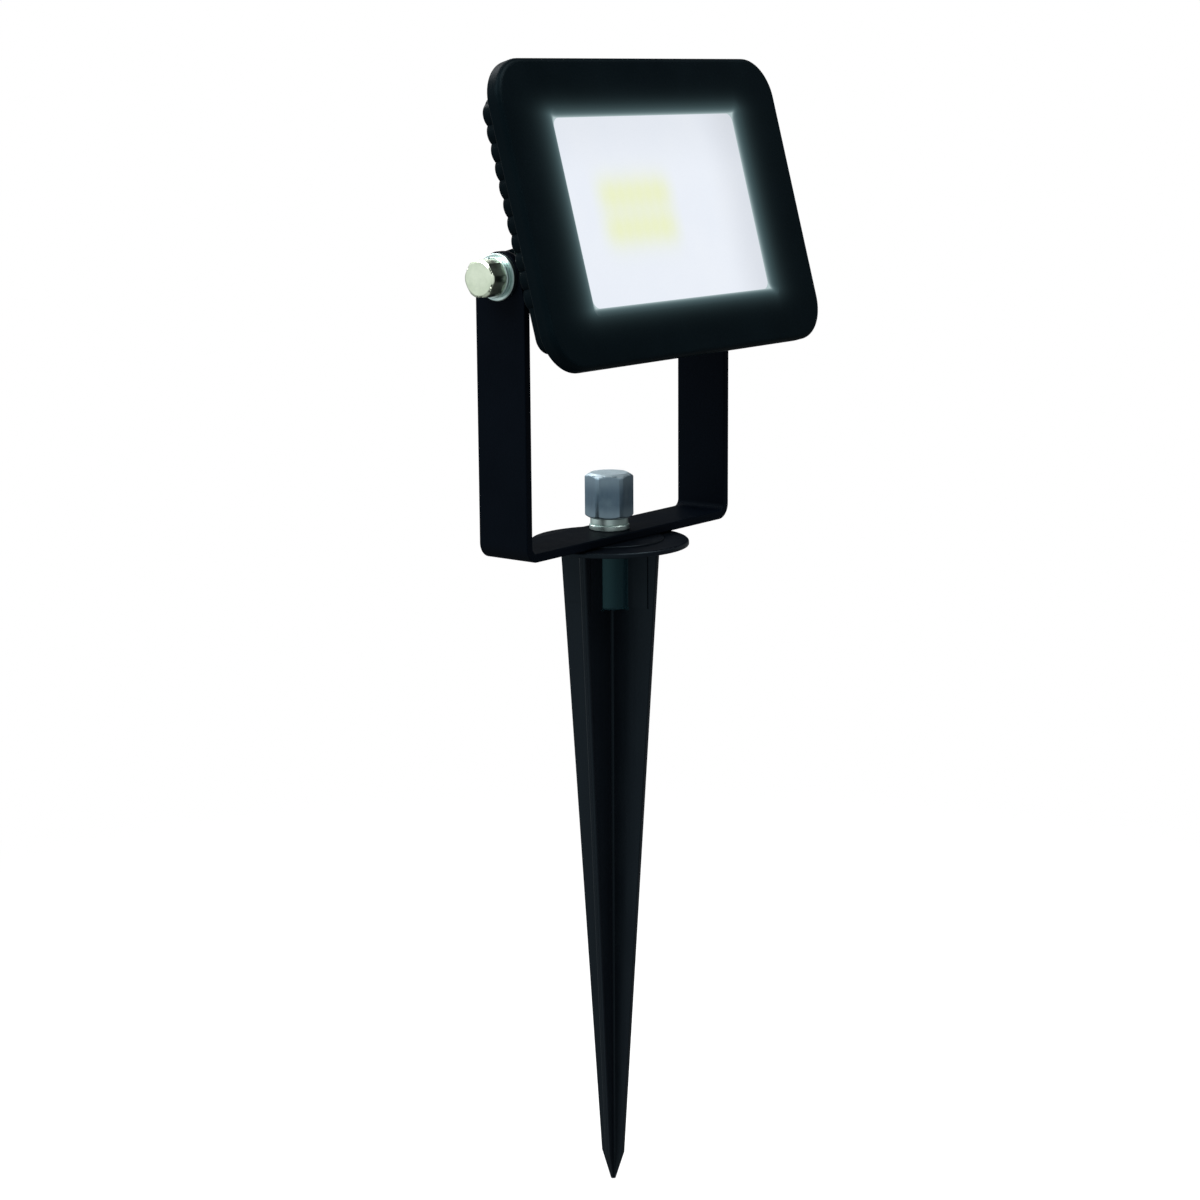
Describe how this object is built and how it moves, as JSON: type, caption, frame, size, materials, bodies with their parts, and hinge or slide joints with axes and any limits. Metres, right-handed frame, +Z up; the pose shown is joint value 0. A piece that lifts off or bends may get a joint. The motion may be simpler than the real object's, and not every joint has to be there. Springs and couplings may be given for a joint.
{
  "type": "garden light projector on a stake",
  "caption": "Rectangular LED floodlight head that tilts in a U-shaped bracket, on a tapering cruciform ground stake with a round flange.",
  "frame": {"origin": "centre of the underside of the stake's flange, which is the soil line", "axes": "+Z up along the stake, the lamp faces -Y, the pivot axis runs along X, +X to the right as seen from the front"},
  "size_m": [0.128, 0.0767, 0.34],
  "materials": {
    "frame_paint": "satin black powder coat",
    "housing_paint": "satin black powder coat",
    "cover_paint": "satin black powder coat",
    "bracket_paint": "satin black powder coat",
    "frosted_glass": "frosted, lit from behind",
    "gasket_rubber": "soft silicone",
    "reflector_white": "bright white",
    "board_white": "white solder mask on aluminium",
    "led_phosphor": "yellow phosphor",
    "small_screw_zinc": "zinc plated",
    "thermal_pad": "soft filled silicone",
    "frame_screw_zinc": "zinc plated",
    "cover_seal_rubber": "soft silicone",
    "cover_screw_zinc": "zinc plated",
    "circuit_board": "green solder mask",
    "driver_screw_zinc": "zinc plated",
    "transformer_tape": "yellow tape over ferrite",
    "capacitor_sleeve": "shrink sleeve",
    "chip_black": "moulded epoxy",
    "terminal_white": "moulded",
    "lead_red": "insulation",
    "core_blue": "insulation",
    "gland_plastic": "moulded nylon",
    "locknut_plastic": "moulded nylon",
    "gland_rubber": "soft",
    "gland_nut_plastic": "moulded nylon",
    "cable_rubber": "rubber sheath",
    "stake_plastic": "moulded, fine texture",
    "stud_zinc": "zinc plated",
    "base_washer_zinc": "bright zinc",
    "base_spring_zinc": "bright zinc",
    "cap_nut_zinc": "blue zinc, dull",
    "left_bolt_zinc": "bright zinc",
    "right_bolt_zinc": "bright zinc",
    "pivot_washer_zinc": "bright zinc",
    "pivot_spring_zinc": "bright zinc",
    "friction_nylon": "nylon"
  },
  "bodies": {
    "stake": {"stake": "stake_plastic", "stake_stud": "stud_zinc"},
    "bracket": {"bracket": "bracket_paint", "base_flat_washer": "base_washer_zinc", "base_spring_washer": "base_spring_zinc", "pivot_flat_washers": "pivot_washer_zinc", "pivot_spring_washers": "pivot_spring_zinc"},
    "head": {"front_frame": "frame_paint", "rear_housing": "housing_paint", "driver_cover": "cover_paint", "front_glass": "frosted_glass", "glass_gasket": "gasket_rubber", "reflector": "reflector_white", "led_board": "board_white", "led_chips": "led_phosphor", "led_board_screws": "small_screw_zinc", "thermal_pad": "thermal_pad", "frame_screws": "frame_screw_zinc", "cover_seal": "cover_seal_rubber", "cover_screws": "cover_screw_zinc", "driver_board": "circuit_board", "driver_screws": "driver_screw_zinc", "driver_transformer": "transformer_tape", "driver_capacitors": "capacitor_sleeve", "driver_chips": "chip_black", "terminal_block": "terminal_white", "led_leads": "lead_red", "mains_cores": "core_blue", "gland_body": "gland_plastic", "gland_locknut": "locknut_plastic", "gland_seal": "gland_rubber", "gland_nut": "gland_nut_plastic", "power_cable": "cable_rubber", "friction_washers": "friction_nylon"},
    "cap_nut": {"cap_nut": "cap_nut_zinc"},
    "left_bolt": {"left_pivot_bolt": "left_bolt_zinc"},
    "right_bolt": {"right_pivot_bolt": "right_bolt_zinc"}
  },
  "joints": [
    {"name": "bracket_pan", "type": "hinge", "parent": "stake", "child": "bracket", "pos_m": [0, 0, 0.0022], "axis": [0, 0, 1], "continuous": true},
    {"name": "head_tilt", "type": "hinge", "parent": "bracket", "child": "head", "pos_m": [0, 0, 0.0815], "axis": [-1, 0, 0], "range_deg": [-21, 160]},
    {"name": "cap_nut_turn", "type": "hinge", "parent": "stake", "child": "cap_nut", "pos_m": [0, 0, 0.01], "axis": [0, 0, 1], "continuous": true},
    {"name": "left_bolt_turn", "type": "hinge", "parent": "head", "child": "left_bolt", "pos_m": [-0.05, 0, 0.0815], "axis": [-1, 0, 0], "continuous": true},
    {"name": "right_bolt_turn", "type": "hinge", "parent": "head", "child": "right_bolt", "pos_m": [0.05, 0, 0.0815], "axis": [1, 0, 0], "continuous": true}
  ]
}
